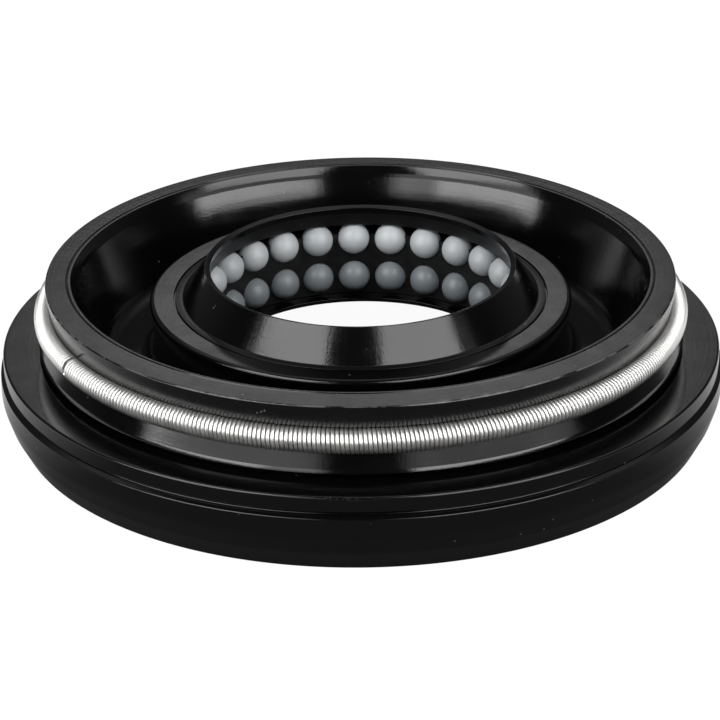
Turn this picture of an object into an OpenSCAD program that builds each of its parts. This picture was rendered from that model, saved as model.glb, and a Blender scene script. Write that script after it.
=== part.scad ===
/* [Flange] */
// Outside diameter of the flange, the wall that is pressed into the housing
flange_d = 68; // [66:0.5:80]
// Height of the flange's top face above its foot
flange_h = 7.5; // [7:0.1:9]
// Height of the full-diameter wall, up to the moulded parting groove
flange_wall_h = 5.5; // [4:0.1:5.6]
// Radial thickness of the skirt under the flange
skirt_t = 5.5; // [4:0.1:7]
// Height above the foot at which the lead-in taper meets the full-diameter wall
lead_in_h = 3.7; // [2.8:0.05:3.9]
// How far the lead-in taper draws in the wall
lead_in_w = 0.6; // [0.2:0.05:1]
// Height of the chamfer at the foot, below the lead-in taper
foot_chamfer_h = 1.9; // [0.5:0.05:2.5]
// Width of the chamfer at the foot
foot_chamfer_w = 1; // [0.5:0.05:1.5]
// Chamfer on the inner edge of the foot
foot_inner_chamfer = 0.5; // [0.2:0.1:1]
// How far the rim above the parting groove stands in from the wall
rim_in = 0.3; // [0.1:0.05:0.6]
// Depth of the parting groove below the rim
parting_groove_depth = 0.35; // [0.1:0.05:0.6]
// Height of the parting groove
parting_groove_h = 0.6; // [0.3:0.05:0.9]

/* [Web and collar] */
// Depth of the hollow under the web
hollow_h = 5.15; // [4:0.05:5.6]
// Thickness of the collar round the bottom of the bore
collar_t = 0.4; // [0.4:0.05:0.8]
// Thickness of the web under the channel
web_t = 1.15; // [1:0.05:2]
// Diameter of the bore through the collar
collar_bore_d = 26.8; // [24:0.1:29]

/* [Balls and cage] */
// Diameter of one ball
ball_d = 3.1; // [2.6:0.1:3.2]
// Number of balls in one row
ball_count = 26; // [18:1:27]
// Distance between the two rows of balls
ball_row_pitch = 3.95; // [3.8:0.05:5]
// Angle of the first ball of each row
ball_phase = 92.3; // [0:0.1:360]
// Radial room between a shaft in the collar and the balls
shaft_to_ball = 0.05; // [0.05:0.05:0.3]
// Running clearance between the balls and the wall that they roll on
ball_run = 0.05; // [0.02:0.01:0.1]
// Clearance round a ball in its pocket
pocket_run = 0.05; // [0.03:0.01:0.1]
// How far the inside of the cage stands in from the ball centres, to hold the balls
cage_grip = 0.2; // [0.1:0.05:0.4]
// How far the balls stand proud of the outside of the cage
ball_proud = 0.2; // [0.15:0.05:0.4]
// Cage material left under the lower row of pockets
cage_floor = 0.15; // [0.15:0.05:0.6]
// Height of the cage's crown above the upper ball centres
cage_crown = 0.5; // [0.4:0.05:1.2]
// Axial running clearance of the cage and its balls
cage_run = 0.05; // [0.05:0.01:0.2]

/* [Inner ring and lip] */
// Wall of the inner ring at the channel floor
ring_wall = 2.6; // [2.2:0.1:3.4]
// How far the ring's outer edge stands out past its foot
ring_draft = 0.7; // [0.2:0.05:1.2]
// Height of the ring's flat top above the upper ball centres
ring_rise = 0.7; // [0.5:0.05:1]
// Radius of the ring's outer edge
ring_edge_r = 0.4; // [0.2:0.05:0.6]
// Width of the fine groove round the ring's flat top
ring_groove_w = 0.34; // [0.1:0.02:0.4]
// Depth of the fine groove
ring_groove_depth = 0.25; // [0.1:0.05:0.4]
// How far the fine groove lies outside the root of the inner lip
ring_groove_out = 0.5; // [0.4:0.05:1.2]
// Free radius of the inner lip's edge, measured outward from the collar bore
inner_lip_out = 1; // [0.5:0.05:1.1]
// Height of the inner lip above the ball shoulder
inner_lip_h = 2.05; // [1.5:0.05:3]
// Land across the edge of the inner lip
inner_lip_land = 0.12; // [0.08:0.02:0.3]
// Wall of the inner lip at its root, outside the ball track
inner_lip_wall = 0.5; // [0.4:0.05:1]
// Setback of the inner lip's inner face at the shoulder
inner_lip_back = 0.5; // [0.3:0.05:0.8]

/* [Outer lip] */
// Width of the channel floor between the inner ring and the outer lip
channel_w = 5; // [4:0.1:8]
// Height and width of the bevels along both sides of the channel floor
channel_bevel = 1; // [0.5:0.1:1.5]
// How far the inside of the outer lip leans out from floor to edge
lip_lean = 2.9; // [1:0.1:4]
// Width of the outer lip's top face
lip_top_w = 2.4; // [1.8:0.1:3]
// Height of the outer lip above the foot
lip_h = 14.1; // [13.6:0.1:16]
// How far the fine line on the lip's top face lies out from its inner edge
lip_line_out = 0.65; // [0.4:0.05:1]
// Width of the fine line
lip_line_w = 0.2; // [0.1:0.05:0.3]
// Depth of the fine line
lip_line_depth = 0.1; // [0.05:0.05:0.2]
// Depth of the neck between the outer lip and the flange
neck_depth = 0.8; // [0.3:0.05:1.2]
// Height of the neck above the flange
neck_h = 0.5; // [0.2:0.05:0.8]
// How far the rib at the foot of the outer lip stands out from the lip
rib_out = 0.75; // [0.1:0.05:1]
// Height of the rib at the foot of the outer lip
rib_h = 0.25; // [0.2:0.05:0.8]
// Waist of the lip beside the spring
waist_in = 0.1; // [0.05:0.05:0.3]

/* [Garter spring] */
// Outside diameter of the spring's coil
coil_d = 2.3; // [1.6:0.05:2.4]
// Diameter of the spring wire
wire_d = 0.4; // [0.3:0.05:0.5]
// Height of the top of the lip above the spring's centre
spring_drop = 3.2; // [2.6:0.1:4]
// How far the spring's centre circle stands out from the lip
spring_stand = 0; // [0:0.05:0.4]
// Clearance of the spring in its groove
spring_seat = 0.02; // [0.01:0.01:0.05]
// Width of the butt gap where the two ends of the spring meet
joint_gap = 0.08; // [0.05:0.01:0.2]
// Length of the nib that is screwed into the far end of the coil
nib_l = 8; // [4:0.5:12]
// Angle of the spring's joint
joint_angle = 208; // [0:1:360]

/* [Hidden] */
$fn = 96;
flange_r = flange_d / 2;
hollow_r = flange_r - skirt_t;
rim_r = flange_r - rim_in;
parting_r = rim_r - parting_groove_depth;
parting_z = flange_wall_h + parting_groove_h * 0.6;
rim_z = flange_wall_h + parting_groove_h;

ball_r = ball_d / 2;
collar_r = collar_bore_d / 2;
collar_z = hollow_h + collar_t;
ball_circle_r = collar_r + shaft_to_ball + ball_r;
track_r = ball_circle_r + ball_r + ball_run;
pocket_r = ball_r + pocket_run;
cage_in_r = ball_circle_r - cage_grip;
cage_out_r = ball_circle_r + ball_r - ball_proud;
cage_z = collar_z + cage_run;
lower_row_z = cage_z + cage_floor + pocket_r;
upper_row_z = lower_row_z + ball_row_pitch;
cage_top_z = upper_row_z + cage_crown;
shoulder_z = upper_row_z + ball_r + cage_run;
// The corner over the upper balls is cut at 45 degrees, just clear of them
corner_reach = (ball_r + ball_run) * sqrt(2);
corner_z = upper_row_z + corner_reach - (track_r - ball_circle_r);
corner_r = ball_circle_r + corner_reach - (shoulder_z - upper_row_z);

floor_z = hollow_h + web_t;
ring_foot_r = track_r + ring_wall;
ring_r = ring_foot_r + ring_draft;
ring_z = upper_row_z + ring_rise;
lip_root_r = track_r + inner_lip_wall;
ring_groove_r = lip_root_r + ring_groove_out;
inner_lip_r = collar_r + inner_lip_out;
inner_lip_z = shoulder_z + inner_lip_h;
inner_lip_root_r = inner_lip_r + inner_lip_back;

lip_foot_r = ring_foot_r + channel_w;
lip_edge_r = lip_foot_r + lip_lean;
lip_line_r = lip_edge_r + lip_line_out;
lip_r = lip_edge_r + lip_top_w;
neck_r = lip_r - neck_depth;
rib_r = lip_r + rib_out;
rib_z = flange_h + neck_h;
coil_r = coil_d / 2;
spring_r = lip_r + spring_stand;
spring_z = lip_h - spring_drop;
coil_bore_r = coil_r - wire_d;

UPPER = [for (i = [1:ball_count]) str("upper_ball_", i)];
LOWER = [for (i = [1:ball_count]) str("lower_ball_", i)];

function ball_angle(i) = ball_phase + 360 * (i - 1) / ball_count;

// Half section of the skirt, flange and web, from the axis side outward
module flange_section() {
    polygon([
        [hollow_r + foot_inner_chamfer, 0],
        [flange_r - lead_in_w - foot_chamfer_w, 0],
        [flange_r - lead_in_w, foot_chamfer_h],
        [flange_r, lead_in_h],
        [flange_r, flange_wall_h],
        [parting_r, parting_z],
        [rim_r, rim_z],
        [rim_r, flange_h],
        [lip_foot_r, flange_h],
        [lip_foot_r, floor_z],
        [track_r, floor_z],
        [track_r, collar_z],
        [collar_r, collar_z],
        [collar_r, hollow_h],
        [hollow_r, hollow_h],
        [hollow_r, foot_inner_chamfer]
    ]);
}

// Half section of the inner ring, with its flat top, its fine groove and the rising inner lip
module ring_section() {
    polygon([
        [track_r, collar_z],
        [ring_foot_r + channel_bevel / 2, floor_z - web_t / 2],
        [ring_foot_r + channel_bevel, floor_z],
        [ring_foot_r + ring_draft * channel_bevel / (ring_z - ring_edge_r - floor_z), floor_z + channel_bevel],
        [ring_r, ring_z - ring_edge_r],
        [ring_r - ring_edge_r, ring_z],
        [ring_groove_r + ring_groove_w / 2, ring_z],
        [ring_groove_r, ring_z - ring_groove_depth],
        [ring_groove_r - ring_groove_w / 2, ring_z],
        [lip_root_r, ring_z],
        [inner_lip_r + inner_lip_land, inner_lip_z],
        [inner_lip_r, inner_lip_z],
        [inner_lip_root_r, shoulder_z],
        [corner_r, shoulder_z],
        [track_r, corner_z]
    ]);
    translate([ring_r - ring_edge_r, ring_z - ring_edge_r]) circle(r = ring_edge_r);
}

// Half section of the outer lip, with the neck, the flared rib and the spring's groove
module lip_section() {
    difference() {
        polygon([
            [lip_foot_r - channel_bevel / 2, floor_z - web_t / 2],
            [neck_r, flange_h - neck_h],
            [neck_r, rib_z],
            [rib_r, rib_z],
            [rib_r, rib_z + rib_h],
            [lip_r - waist_in, spring_z - coil_r],
            [lip_r - waist_in, spring_z + coil_r],
            [lip_r, lip_h],
            [lip_line_r + lip_line_w / 2, lip_h],
            [lip_line_r, lip_h - lip_line_depth],
            [lip_line_r - lip_line_w / 2, lip_h],
            [lip_edge_r, lip_h],
            [lip_foot_r + lip_lean * channel_bevel / (lip_h - floor_z), floor_z + channel_bevel],
            [lip_foot_r - channel_bevel, floor_z]
        ]);
        translate([spring_r, spring_z]) circle(r = coil_r + spring_seat);
    }
}

// The black rubber seal, moulded in one piece
module seal_body() {
    color([0.03, 0.03, 0.032])
        rotate_extrude() {
            flange_section();
            ring_section();
            lip_section();
        }
}

// The steel garter spring: a closed ring of coil, butted at its joint and held there by its nib
module garter_spring() {
    gap_angle = 2 * asin(joint_gap / 2 / spring_r);
    nib_angle = 2 * asin(nib_l / 2 / spring_r);
    color([0.78, 0.78, 0.76])
        translate([0, 0, spring_z])
            rotate([0, 0, joint_angle]) {
                rotate([0, 0, gap_angle / 2])
                    rotate_extrude(angle = 360 - gap_angle)
                        translate([spring_r, 0])
                            difference() {
                                circle(r = coil_r);
                                circle(r = coil_bore_r);
                            }
                rotate([0, 0, -nib_angle / 2])
                    rotate_extrude(angle = nib_angle)
                        translate([spring_r, 0]) circle(r = coil_bore_r + wire_d / 4);
            }
}

// One ball of a row at the given height
module ball(i, row_z, r) {
    rotate([0, 0, ball_angle(i)])
        translate([ball_circle_r, 0, row_z]) sphere(r = r);
}

// The black cage: a sleeve with two rows of round pockets, open as a crown at the top
module ball_cage() {
    color([0.04, 0.04, 0.045])
        difference() {
            rotate_extrude()
                polygon([
                    [cage_in_r, cage_z],
                    [cage_out_r, cage_z],
                    [cage_out_r, upper_row_z],
                    [cage_out_r - cage_crown * 0.4, cage_top_z],
                    [cage_in_r, cage_top_z]
                ]);
            for (i = [1:ball_count]) {
                ball(i, lower_row_z, pocket_r);
                ball(i, upper_row_z, pocket_r);
            }
        }
}

module upper_ball(i) {
    color([0.8, 0.81, 0.81]) ball(i, upper_row_z, ball_r);
}

module lower_ball(i) {
    color([0.8, 0.81, 0.81]) ball(i, lower_row_z, ball_r);
}

seal_body();
garter_spring();
ball_cage();
for (i = [1:ball_count]) {
    upper_ball(i);
    lower_ball(i);
}
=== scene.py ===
import math

import bpy
import numpy as np
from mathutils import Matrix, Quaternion, Vector


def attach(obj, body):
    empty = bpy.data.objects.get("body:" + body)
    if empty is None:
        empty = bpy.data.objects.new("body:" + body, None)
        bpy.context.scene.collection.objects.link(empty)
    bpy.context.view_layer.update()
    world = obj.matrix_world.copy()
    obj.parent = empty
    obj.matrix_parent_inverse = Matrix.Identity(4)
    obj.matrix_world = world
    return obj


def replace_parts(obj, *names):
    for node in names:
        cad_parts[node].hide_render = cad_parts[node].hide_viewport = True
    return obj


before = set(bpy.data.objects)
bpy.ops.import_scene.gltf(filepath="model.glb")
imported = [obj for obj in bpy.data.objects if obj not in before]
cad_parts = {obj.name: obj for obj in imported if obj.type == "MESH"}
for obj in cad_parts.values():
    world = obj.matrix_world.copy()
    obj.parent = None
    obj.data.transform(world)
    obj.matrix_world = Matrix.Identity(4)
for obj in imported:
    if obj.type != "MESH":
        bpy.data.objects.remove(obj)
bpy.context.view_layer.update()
scene = bpy.context.scene
mm = 0.001
print("frame loaded,", len(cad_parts), "nodes")


def addMesh(name, points, faces):
    # points in mm, one row each; faces is a list of index arrays, one array for each number of corners
    mesh = bpy.data.meshes.new(name)
    corners = np.concatenate([f.ravel() for f in faces]).astype(np.int32)
    sizes = np.concatenate([np.full(len(f), f.shape[1]) for f in faces])
    starts = np.concatenate([[0], np.cumsum(sizes)[:-1]]).astype(np.int32)
    mesh.vertices.add(len(points))
    mesh.vertices.foreach_set("co", (points * mm).astype(np.float32).ravel())
    mesh.loops.add(len(corners))
    mesh.loops.foreach_set("vertex_index", corners)
    mesh.polygons.add(len(starts))
    mesh.polygons.foreach_set("loop_start", starts)
    mesh.polygons.foreach_set("use_smooth", np.ones(len(starts), bool))
    mesh.update(calc_edges=True)
    mesh.validate()
    piece = bpy.data.objects.new(name, mesh)
    scene.collection.objects.link(piece)
    return piece


def gridFaces(rows, cols, wrapRows):
    # quads of a grid that is closed across its columns, and across its rows too if asked
    i, j = np.meshgrid(np.arange(rows if wrapRows else rows - 1), np.arange(cols), indexing="ij")
    i2, j2 = (i + 1) % rows, (j + 1) % cols
    return np.stack([i * cols + j, i * cols + j2, i2 * cols + j2, i2 * cols + j], -1).reshape(-1, 4)


def roundLoop(corners, steps):
    # every corner (r, z, radius) of the closed outline becomes an arc that touches both its edges
    point, radius = corners[:, :2], corners[:, 2:]
    back, ahead = np.roll(point, 1, 0) - point, np.roll(point, -1, 0) - point
    back /= np.linalg.norm(back, axis=1, keepdims=True)
    ahead /= np.linalg.norm(ahead, axis=1, keepdims=True)
    half = np.arccos((back * ahead).sum(1, keepdims=True)) / 2
    middle = back + ahead
    centre = point + middle / np.linalg.norm(middle, axis=1, keepdims=True) * radius / np.sin(half)
    first = (point + back * radius / np.tan(half) - centre)[:, None]
    last = (point + ahead * radius / np.tan(half) - centre)[:, None]
    turn = (math.pi - 2 * half)[:, None]
    t = np.linspace(0, 1, steps)[None, :, None]
    arc = (first * np.sin((1 - t) * turn) + last * np.sin(t * turn)) / np.sin(turn)
    return (centre[:, None] + arc).reshape(-1, 2)


def addNode(tree, kind, sockets=None, **settings):
    # one shader node; a socket takes either a link or its own constant
    node = tree.nodes.new(kind)
    for key, value in settings.items():
        setattr(node, key, value)
    for socket, value in (sockets or {}).items():
        if isinstance(value, bpy.types.NodeSocket):
            tree.links.new(value, node.inputs[socket])
        else:
            node.inputs[socket].default_value = value
    return node


def calc(tree, operation, a, b=0.0, clamp=False):
    return addNode(tree, "ShaderNodeMath", {0: a, 1: b}, operation=operation, use_clamp=clamp).outputs[0]


def product(tree, first, *others):
    for other in others:
        first = calc(tree, "MULTIPLY", first, other)
    return first


def total(tree, first, *others):
    for other in others:
        first = calc(tree, "ADD", first, other)
    return first


def awayFrom(tree, value, middle):
    return calc(tree, "ABSOLUTE", calc(tree, "SUBTRACT", value, middle))


def vectorCalc(tree, operation, *values):
    return addNode(tree, "ShaderNodeVectorMath", dict(enumerate(values)), operation=operation).outputs[0]


def combine(tree, *values):
    return addNode(tree, "ShaderNodeCombineXYZ", dict(enumerate(values))).outputs[0]


def split(tree, vector):
    return tuple(addNode(tree, "ShaderNodeSeparateXYZ", {0: vector}).outputs)


def ramp(tree, value, low, high, toLow=0.0, toHigh=1.0):
    # soft step of value from low, where it gives toLow, to high, where it gives toHigh
    sockets = {"Value": value, "From Min": low, "From Max": high, "To Min": toLow, "To Max": toHigh}
    return addNode(tree, "ShaderNodeMapRange", sockets, interpolation_type="SMOOTHSTEP").outputs["Result"]


def noise(tree, vector, scale, detail=3.0, rough=0.5, output="Fac"):
    sockets = {"Vector": vector, "Scale": scale, "Detail": detail, "Roughness": rough}
    return addNode(tree, "ShaderNodeTexNoise", sockets).outputs[output]


def mixColor(tree, factor, first, second):
    return addNode(tree, "ShaderNodeMix", {"Factor": factor, 6: first, 7: second}, data_type="RGBA").outputs[2]


def newMaterial(name):
    # a material whose first vector is the object's own place in millimetres
    material = bpy.data.materials.new(name)
    material.use_nodes = True
    tree = material.node_tree
    tree.nodes.clear()
    shader = addNode(tree, "ShaderNodeBsdfPrincipled")
    addNode(tree, "ShaderNodeOutputMaterial", {"Surface": shader.outputs[0]})
    place = addNode(tree, "ShaderNodeTexCoord").outputs["Object"]
    return material, tree, shader, vectorCalc(tree, "MULTIPLY", place, (1 / mm, 1 / mm, 1 / mm))


def give(tree, shader, **sockets):
    names = {"color": "Base Color", "rough": "Roughness", "metal": "Metallic", "normal": "Normal"}
    for key, value in sockets.items():
        if isinstance(value, bpy.types.NodeSocket):
            tree.links.new(value, shader.inputs[names[key]])
        else:
            shader.inputs[names[key]].default_value = value


# black rubber: satin moulded skin with fine marks round and across it, and a few specks of dust
rubber = {
    "base": (0.0012, 0.0012, 0.0014, 1), "dust": (0.15, 0.15, 0.145, 1), "rough": (0.09, 0.15),
    "bump": 0.15, "bumpDepth": 0.00003, "speckSize": 0.11, "speckPale": 0.5,
    "paleLineRadius": 29.4, "paleLineLevel": 0.6,  # pale broken line along the lip's top edge
    "smearX": 9.4, "smearPale": 0.35,  # smear beside it on the right
    "scuffX": -1.3, "scuffPale": 0.15,  # scuffs on the flange's front edge
    "insideDull": 0.25, "waistDull": 0.1,  # roughness added inside the inner lip and over the spring
}
rubberMat, tree, shader, place = newMaterial("blackRubber")
atX, atY, atZ = split(tree, place)
flat = vectorCalc(tree, "MULTIPLY", place, (1, 1, 0))
radius = addNode(tree, "ShaderNodeVectorMath", {0: flat}, operation="LENGTH").outputs["Value"]
outward = vectorCalc(tree, "NORMALIZE", flat)
outX, outY, outZ = split(tree, outward)
acrossMarks = combine(tree, product(tree, outX, 24.0), product(tree, outY, 24.0), product(tree, atZ, 0.25))
roundMarks = combine(tree, radius, atZ, product(tree, outX, 0.6))
cloud = noise(tree, place, 0.35, 4)
grain = noise(tree, place, 7.0, 2)
streak = total(tree, noise(tree, acrossMarks, 2.2, 4), noise(tree, roundMarks, 3.0, 4))
# specks: small cells pulled out of round by noise
pulled = vectorCalc(tree, "MULTIPLY_ADD", noise(tree, place, 6.0, 2, output="Color"), (0.3, 0.3, 0.3), place)
cell = addNode(tree, "ShaderNodeTexVoronoi", {"Vector": pulled, "Scale": 0.9}).outputs["Distance"]
speck = calc(tree, "LESS_THAN", cell, product(tree, ramp(tree, cloud, 0.52, 0.7), rubber["speckSize"]))
# each pale mark is the product of where it lies across, along and up the seal and of a noise that breaks it up
broken = noise(tree, vectorCalc(tree, "MULTIPLY", outward, (9, 9, 0)), 1.0, 5, 0.7)
edge = product(tree, ramp(tree, awayFrom(tree, radius, rubber["paleLineRadius"]), 0.1, 0.03),
               ramp(tree, atZ, 14.0, 14.05), ramp(tree, broken, 0.42, 0.56), rubber["paleLineLevel"])
smear = product(tree, ramp(tree, awayFrom(tree, atX, rubber["smearX"]), 4.5, 1.0),
                ramp(tree, radius, 28.5, 29.3), ramp(tree, atZ, 13.9, 14.05),
                ramp(tree, streak, 0.95, 1.15), rubber["smearPale"])
scuff = product(tree, ramp(tree, awayFrom(tree, atX, rubber["scuffX"]), 4.0, 1.0),
                ramp(tree, radius, 33.35, 33.6), ramp(tree, atZ, 7.1, 7.35),
                ramp(tree, grain, 0.52, 0.62), rubber["scuffPale"])
paleMarks = product(tree, total(tree, smear, scuff, edge), ramp(tree, atY, 0.0, -8.0))  # on the front half only
pale = calc(tree, "ADD", product(tree, speck, rubber["speckPale"]), paleMarks, True)
height = total(tree, grain, streak, product(tree, speck, 0.8))
bumpSockets = {"Strength": rubber["bump"], "Distance": rubber["bumpDepth"], "Height": height}
bump = addNode(tree, "ShaderNodeBump", bumpSockets).outputs[0]
skin = total(tree, product(tree, cloud, 0.6), product(tree, streak, 0.2))
inside = product(tree, ramp(tree, radius, 15.1, 14.8), ramp(tree, atZ, 12.4, 12.9), ramp(tree, atZ, 14.4, 14.1),
                 rubber["insideDull"])
waist = product(tree, ramp(tree, radius, 28.9, 29.1), ramp(tree, atZ, 11.9, 12.1), ramp(tree, atZ, 14.0, 13.8),
                rubber["waistDull"])
rough = total(tree, ramp(tree, skin, 0.3, 0.7, *rubber["rough"]), inside, waist)
give(tree, shader, color=mixColor(tree, pale, rubber["base"], rubber["dust"]), rough=rough, normal=bump)

# bright drawn spring wire
wire = {"base": (0.81, 0.805, 0.79, 1), "rough": (0.33, 0.41)}
wireMat, tree, shader, place = newMaterial("springSteel")
cloud = noise(tree, place, 0.8)
give(tree, shader, color=wire["base"], metal=1.0, rough=ramp(tree, cloud, 0.3, 0.7, *wire["rough"]))

# black plastic of the cage
cage = {"base": (0.003, 0.003, 0.0035, 1), "rough": (0.35, 0.5)}
cageMat, tree, shader, place = newMaterial("cagePlastic")
cloud = noise(tree, place, 1.5)
give(tree, shader, color=cage["base"], rough=ramp(tree, cloud, 0.3, 0.7, *cage["rough"]))

# pale balls, each a little lighter or darker than the next
# painted shade: the lower row is coloured darker and bluer than the upper, more so towards its foot
ball = {
    "dark": (0.335, 0.358, 0.372, 1), "light": (0.435, 0.453, 0.462, 1), "rough": 0.35,
    # painted shade colour, dark and bluish, for the lower row
    "shadeTint": (0.185, 0.205, 0.215),
    "shadeShare": (0.08, 1.0), "shadeShareZ": (5.7, 7.0),  # share of the painted shade colour, from foot to top
    "rowZ": (9.0, 9.7),  # where the lower row's painted shade gives way to the upper row's own colour
}
ballMat, tree, shader, place = newMaterial("paleBall")
chance = addNode(tree, "ShaderNodeObjectInfo").outputs["Random"]
shade = total(tree, product(tree, chance, 0.6), product(tree, noise(tree, place, 1.2), 0.4))
clean = mixColor(tree, shade, ball["dark"], ball["light"])
ballX, ballY, ballZ = split(tree, place)
# painted shade: the lower row's colour darkens towards its foot by height
shadeShare = ramp(tree, ballZ, *ball["shadeShareZ"], *ball["shadeShare"])
shadedTint = addNode(tree, "ShaderNodeVectorMath", {0: ball["shadeTint"], "Scale": shadeShare}, operation="SCALE").outputs[0]
# the lower row takes the painted shade colour and the upper row its own colour
give(tree, shader, color=mixColor(tree, ramp(tree, ballZ, *ball["rowZ"]), shadedTint, clean), rough=ball["rough"])
print("materials made")

# seal: outline (r, z, edge radius) turned about the axis, P = (r cos v, r sin v, z)
springZ = 10.9  # height of the spring's circle
reach = 0.93  # how far the tangents of the spring's groove run past its middle
seal = {
    "steps": 6, "around": 384,
    "foot": [(29.0, 0, 0.15), (32.4, 0, 0.25), (33.4, 1.9, 1.5), (34.0, 3.7, 3.0), (34.0, 5.5, 0.12),
             (33.35, 5.86, 0.1), (33.7, 6.1, 0.12), (33.7, 7.5, 0.22), (28.7, 7.5, 0.15), (28.7, 8.0, 0.12)],
    "rib": [(30.28, 8.0, 0.04), (30.13, 8.36, 0.05), (29.36, 9.76, 0.01)],
    "groove": [(28.33, springZ - reach, 1.13), (28.33, springZ + reach, 0.95)],
    "lip": [(29.2, 12.04, 0.01), (29.5, 14.1, 0.15), (27.62, 14.1, 0.03), (27.54, 14.0, 0.03),
            (27.46, 14.1, 0.03), (27.14, 14.1, 0.1), (26.74, 13.42, 0.5), (26.587, 13.1, 1.2)],
    "channel": [(24.2, 6.3, 1.5), (19.2, 6.3, 1.5)],
    "ring": [(19.85, 12.0, 0.45), (17.54, 12.0, 0.02), (17.53, 11.7, 0.02), (17.37, 11.7, 0.02),
             (17.36, 12.0, 0.02), (16.65, 12.0, 0.15), (14.56, 14.95, 0.03), (14.05, 14.8, 0.04),
             (14.4, 12.9, 0.1), (15.66, 12.9, 0.1), (16.6, 11.96, 0.2)],
    "under": [(16.6, 5.55, 0.1), (13.4, 5.55, 0.03), (13.4, 5.15, 0.1), (28.5, 5.15, 0.6), (28.5, 0.5, 0.15)],
    "flash": 0.8, "flashR": (27.0, 27.7), "flashZ": 13.95,
}
stretches = ["foot", "rib", "groove", "lip", "channel", "ring", "under"]
outline = roundLoop(np.array(sum((seal[name] for name in stretches), []), float), seal["steps"])
v = np.linspace(0, 2 * math.pi, seal["around"], endpoint=False)
r, z = outline[:, :1], outline[:, 1:]
# flash: on the near side the lip's top inner edge runs further in, by flash * (-sin v) where that is positive
atFlash = (z > seal["flashZ"]) & (r > seal["flashR"][0]) & (r < seal["flashR"][1])
r = r - seal["flash"] * atFlash * np.clip(-np.sin(v), 0, 1)
points = np.stack([r * np.cos(v), r * np.sin(v), z + 0 * v], -1).reshape(-1, 3)
sealPiece = addMesh("rubberSeal", points, [gridFaces(len(outline), seal["around"], True)])
sealPiece.data.materials.append(rubberMat)
sealPiece.modifiers.new("evenShading", "WEIGHTED_NORMAL")
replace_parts(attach(sealPiece, "seal"), "seal_body")
print("seal made,", len(points), "points")

# spring: a wire wound about a circle of radius R, with its centre line at
# ((R + a cos w) cos t, (R + a cos w) sin t, h + a sin w), where w = -turns t
spring = {
    "circle": 29.5, "coil": 0.965, "wire": 0.176, "turns": 467, "perTurn": 22, "sides": 8,
    "joint": 208, "gap": 0.16,  # degrees
}
t = np.linspace(spring["gap"], 360 - spring["gap"], spring["turns"] * spring["perTurn"] + 1) + spring["joint"]
t = np.radians(t)[:, None]
w = -spring["turns"] * t
out = np.concatenate([np.cos(t), np.sin(t), 0 * t], 1)
fromCoil = np.concatenate([np.cos(w) * np.cos(t), np.cos(w) * np.sin(t), np.sin(w)], 1)
line = spring["circle"] * out + spring["coil"] * fromCoil + np.array([0, 0, springZ])
wireWay = np.gradient(line, axis=0)
wireWay /= np.linalg.norm(wireWay, axis=1, keepdims=True)
wireSide = np.cross(wireWay, fromCoil)
wireSide /= np.linalg.norm(wireSide, axis=1, keepdims=True)
p = np.linspace(0, 2 * math.pi, spring["sides"], endpoint=False)[None, :, None]
points = line[:, None] + spring["wire"] * (np.cos(p) * fromCoil[:, None] + np.sin(p) * wireSide[:, None])
rows, sides = points.shape[:2]
ends = np.stack([np.arange(sides)[::-1], np.arange(sides) + (rows - 1) * sides])
springPiece = addMesh("springCoil", points.reshape(-1, 3), [gridFaces(rows, sides, False), ends])
springPiece.data.materials.append(wireMat)
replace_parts(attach(springPiece, "seal"), "garter_spring")
print("spring made,", rows * sides, "points")

# the cage and its balls stay the CAD's own pieces and take their finish here
for name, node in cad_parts.items():
    if "ball" in name:
        node.data.materials.clear()
        node.data.materials.append(cageMat if name == "ball_cage" else ballMat)
        node.data.polygons.foreach_set("use_smooth", np.ones(len(node.data.polygons), bool))
print("balls and cage finished")

# floor: white to the camera with a faint shadow, grey in the seal's own reflections in front
floor = {
    "half": 3.0, "level": -0.00002, "glow": 1.06, "share": 0.9,  # metres; share of the white that glows
    "white": (0.85, 0.85, 0.85, 1), "grey": (0.12, 0.12, 0.12, 1),
    "slant": 0.7, "whiteFrom": (0.015, 0.06),  # reflections turn white where |x| + slant y passes these
}
square = np.array([[-1, -1, 0], [1, -1, 0], [1, 1, 0], [-1, 1, 0]], float) * floor["half"]
square = (square + np.array([0, 0, floor["level"]])) / mm
floorPiece = addMesh("whiteFloor", square, [np.array([[0, 1, 2, 3]])])
floorMat = bpy.data.materials.new("whiteFloor")
floorMat.use_nodes = True
tree = floorMat.node_tree
tree.nodes.clear()
path = addNode(tree, "ShaderNodeLightPath").outputs
floorX, floorY, floorZ = split(tree, addNode(tree, "ShaderNodeTexCoord").outputs["Object"])
behind = total(tree, calc(tree, "ABSOLUTE", floorX), product(tree, floorY, floor["slant"]))
behind = ramp(tree, behind, *floor["whiteFrom"])
seen = calc(tree, "ADD", path["Is Camera Ray"], product(tree, path["Is Glossy Ray"], behind), True)
seen = calc(tree, "ADD", seen, path["Is Transmission Ray"], True)
grey = addNode(tree, "ShaderNodeBsdfDiffuse", {"Color": floor["grey"]}).outputs[0]
paper = addNode(tree, "ShaderNodeBsdfDiffuse", {"Color": floor["white"]}).outputs[0]
glow = addNode(tree, "ShaderNodeEmission", {"Color": (1, 1, 1, 1), "Strength": floor["glow"]}).outputs[0]
white = addNode(tree, "ShaderNodeMixShader", {0: floor["share"], 1: paper, 2: glow}).outputs[0]
top = addNode(tree, "ShaderNodeMixShader", {0: seen, 1: grey, 2: white}).outputs[0]
fromBelow = addNode(tree, "ShaderNodeNewGeometry").outputs["Backfacing"]
clear = addNode(tree, "ShaderNodeBsdfTransparent").outputs[0]
both = addNode(tree, "ShaderNodeMixShader", {0: fromBelow, 1: top, 2: clear}).outputs[0]
addNode(tree, "ShaderNodeOutputMaterial", {"Surface": both})
floorPiece.data.materials.append(floorMat)

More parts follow.
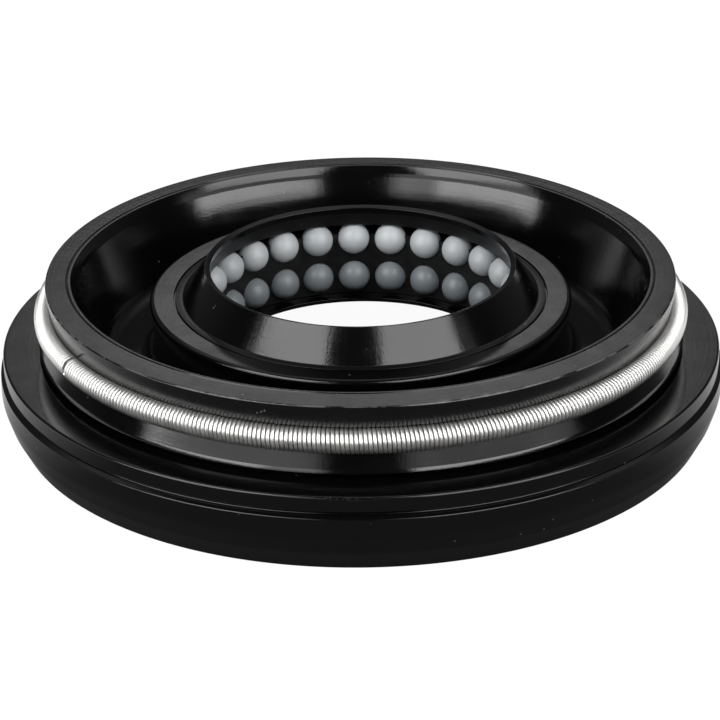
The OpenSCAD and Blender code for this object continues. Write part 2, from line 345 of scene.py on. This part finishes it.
# world: white for the camera; for everything else a dim room with a bright card behind the seal
# and a lit ceiling beyond it, both placed by the direction they are seen in
room = {
    "front": 0.03, "back": 0.08, "card": 1.1, "ceiling": 0.36,
    "cardSide": (0.145, 0.045), "cardFoot": (0.366, 0.398), "cardTop": (0.5, 0.4),  # where each edge fades in
    "ceilingFrom": (0.5, 0.75),
}
world = bpy.data.worlds.new("studio")
world.use_nodes = True
scene.world = world
tree = world.node_tree
tree.nodes.clear()
path = addNode(tree, "ShaderNodeLightPath").outputs
wayX, wayY, wayZ = split(tree, addNode(tree, "ShaderNodeTexCoord").outputs["Generated"])
card = product(tree, ramp(tree, calc(tree, "ABSOLUTE", wayX), *room["cardSide"]),
               ramp(tree, wayZ, *room["cardFoot"]), ramp(tree, wayZ, *room["cardTop"]),
               calc(tree, "GREATER_THAN", wayY, 0.0), room["card"])
ceiling = product(tree, wayZ, ramp(tree, wayY, 0.0, 0.3))
ceiling = ramp(tree, ceiling, *room["ceilingFrom"], 0.0, room["ceiling"])
level = total(tree, ramp(tree, wayY, 0.0, 0.5, room["front"], room["back"]), ceiling, card)
wall = addNode(tree, "ShaderNodeBackground", {"Color": (1, 1, 1, 1), "Strength": level}).outputs[0]
white = addNode(tree, "ShaderNodeBackground", {"Color": (1, 1, 1, 1), "Strength": 1.0}).outputs[0]
seen = calc(tree, "ADD", path["Is Camera Ray"], path["Is Transmission Ray"], True)
both = addNode(tree, "ShaderNodeMixShader", {0: seen, 1: wall, 2: white}).outputs[0]
addNode(tree, "ShaderNodeOutputWorld", {"Surface": both})

# a soft box on each side of the camera in panels, with a dark gap between the two boxes
# turn, spread and rise are degrees seen from the seal, tall is metres
lampFar = 1.2
lamps = {
    "leftLow": {"turn": -56, "spread": 23, "rise": 14.5, "tall": 0.24, "bright": 7.0},
    "leftEdge": {"turn": -23, "spread": 10, "rise": 14.5, "tall": 0.24, "bright": 2.8},
    "leftMid": {"turn": -48, "spread": 32, "rise": 28, "tall": 0.34, "bright": 1.5},
    "leftHigh": {"turn": -54, "spread": 28, "rise": 48, "tall": 0.55, "bright": 5.1},
    "rightLow": {"turn": 44, "spread": 27, "rise": 14.5, "tall": 0.24, "bright": 6.4},
    "rightMid": {"turn": 48, "spread": 32, "rise": 28, "tall": 0.34, "bright": 0.95},
    "rightHigh": {"turn": 46, "spread": 30, "rise": 48, "tall": 0.55, "bright": 4.6},
}
for name, lamp in lamps.items():
    turn, rise, spread = (math.radians(lamp[key]) for key in ("turn", "rise", "spread"))
    data = bpy.data.lights.new(name, "AREA")
    data.shape = "RECTANGLE"
    data.size = 2 * lampFar * math.cos(rise) * math.tan(spread)
    data.size_y = lamp["tall"]
    data.energy = math.pi * lamp["bright"] * data.size * data.size_y  # watts of a lamp this bright
    item = bpy.data.objects.new(name, data)
    toLamp = Vector((math.sin(turn) * math.cos(rise), -math.cos(turn) * math.cos(rise), math.sin(rise)))
    item.location = toLamp * lampFar
    item.rotation_mode = "QUATERNION"
    item.rotation_quaternion = (-item.location).to_track_quat("-Z", "Y")
    scene.collection.objects.link(item)
print("floor, world and lamps set")

# camera, placed from the rims in the photo
shot = {"target": Vector((-0.00013, 0, 0.00501)), "rise": 24.7, "far": 0.33, "lens": 174.15, "roll": -0.72}
camera = bpy.data.cameras.new("photoCamera")
camera.lens, camera.sensor_width = shot["lens"], 36
camera.clip_start, camera.clip_end = 0.01, 20
eye = bpy.data.objects.new("photoCamera", camera)
rise = math.radians(shot["rise"])
eye.location = shot["target"] + shot["far"] * Vector((0, -math.cos(rise), math.sin(rise)))
eye.rotation_mode = "QUATERNION"
look = (shot["target"] - eye.location).to_track_quat("-Z", "Y")
eye.rotation_quaternion = look @ Quaternion((0, 0, 1), math.radians(shot["roll"]))
scene.collection.objects.link(eye)
scene.camera = eye
scene.view_settings.view_transform = "Standard"
